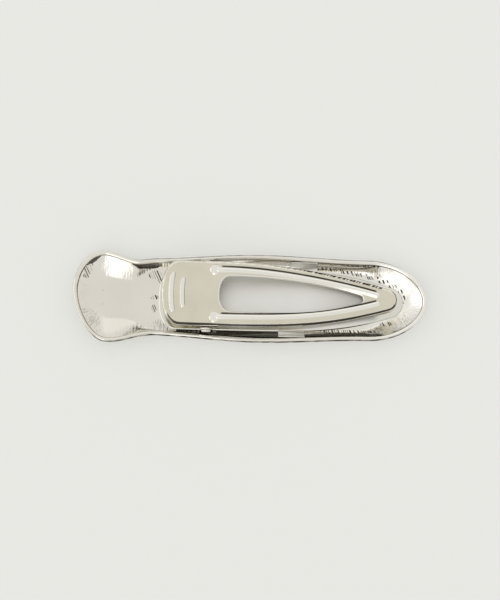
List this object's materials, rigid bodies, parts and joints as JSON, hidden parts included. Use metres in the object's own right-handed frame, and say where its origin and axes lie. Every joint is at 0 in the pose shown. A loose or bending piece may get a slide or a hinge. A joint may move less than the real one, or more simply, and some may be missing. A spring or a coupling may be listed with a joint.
{
  "type": "alligator hair clip",
  "caption": "Polished metal alligator hair clip: a dished shell with a flared thumb end and rolled rim, holding a sprung lever jaw with a teardrop window over a lower jaw.",
  "frame": {"origin": "middle of the bounding box in plan, on the shell's flat outer floor", "axes": "+X from the flared thumb end to the tip, +Y across the clip along the hinge pin, +Z out of the dish towards the lever"},
  "size_m": [0.11, 0.029, 0.0113],
  "materials": {
    "shell_plating": "polished nickel-tone plating with fine brush marks inside the dish",
    "jaw_plating": "satin-bright nickel-tone plating on stamped sheet",
    "pin_plating": "bright plated steel",
    "spring_wire": "drawn spring wire"
  },
  "bodies": {
    "clip_base": {"shell": "shell_plating", "lower_jaw": "jaw_plating", "hinge_pin": "pin_plating", "torsion_spring": "spring_wire"},
    "lever": {"jaw_lever": "jaw_plating"}
  },
  "joints": [
    {"name": "lever_hinge", "type": "hinge", "parent": "clip_base", "child": "lever", "pos_m": [-0.0134, 0, 0.006], "axis": [0, -1, 0], "range_deg": [0, 20], "stiffness_Nm_per_rad": 0.06, "springref_deg": -34.38, "deforming": ["torsion_spring"]}
  ]
}
